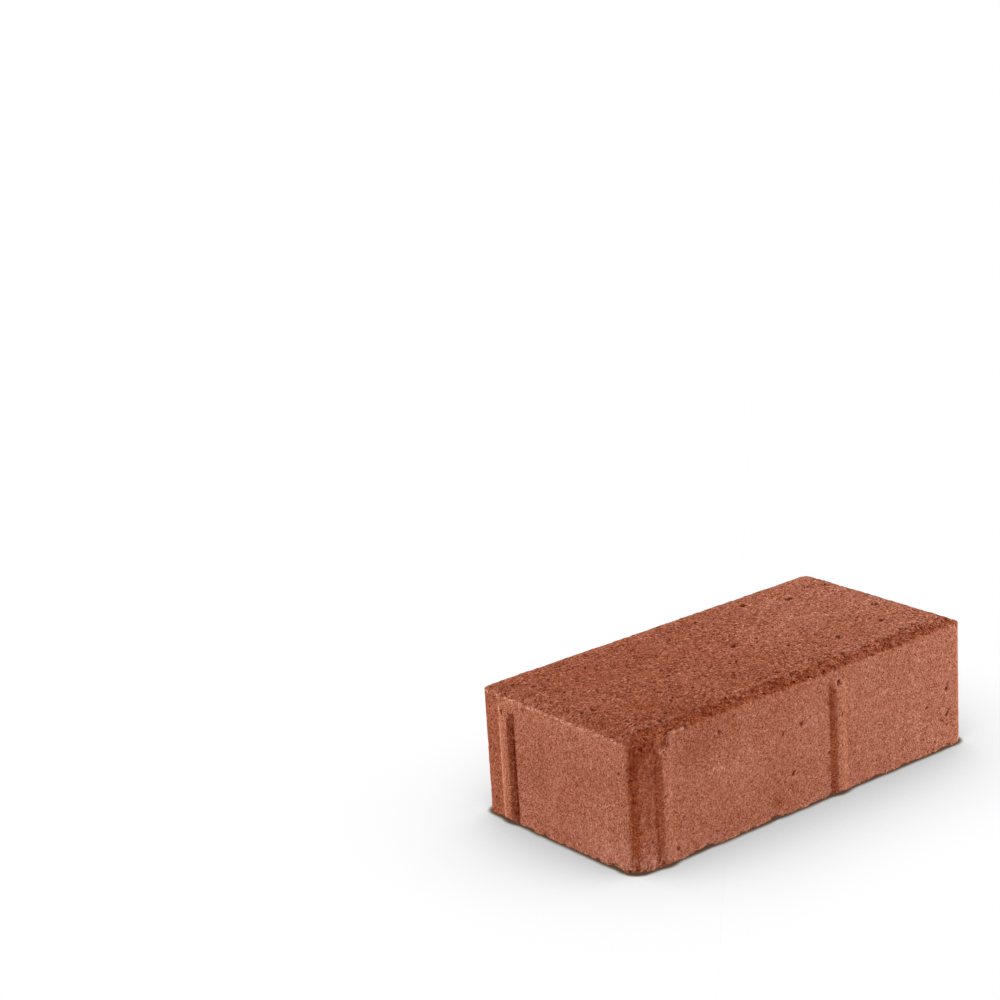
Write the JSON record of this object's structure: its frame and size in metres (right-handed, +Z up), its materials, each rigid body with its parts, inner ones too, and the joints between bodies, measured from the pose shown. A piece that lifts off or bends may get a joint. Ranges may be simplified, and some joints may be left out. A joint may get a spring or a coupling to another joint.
{
  "type": "concrete paving stone",
  "caption": "Rectangular cast concrete paving stone with a bevelled top, rounded upright corners and spacer ribs on its sides.",
  "frame": {"origin": "middle of the underside, at the centre of the stone's plan and on the surface it lies on", "axes": "+X along the length, +Y across the width, +Z up through the bevelled top"},
  "size_m": [0.2, 0.1, 0.06],
  "materials": {
    "concrete": "sandy, through-coloured brick red, matte"
  },
  "bodies": {
    "root": {"paving_stone": "concrete"}
  },
  "joints": []
}
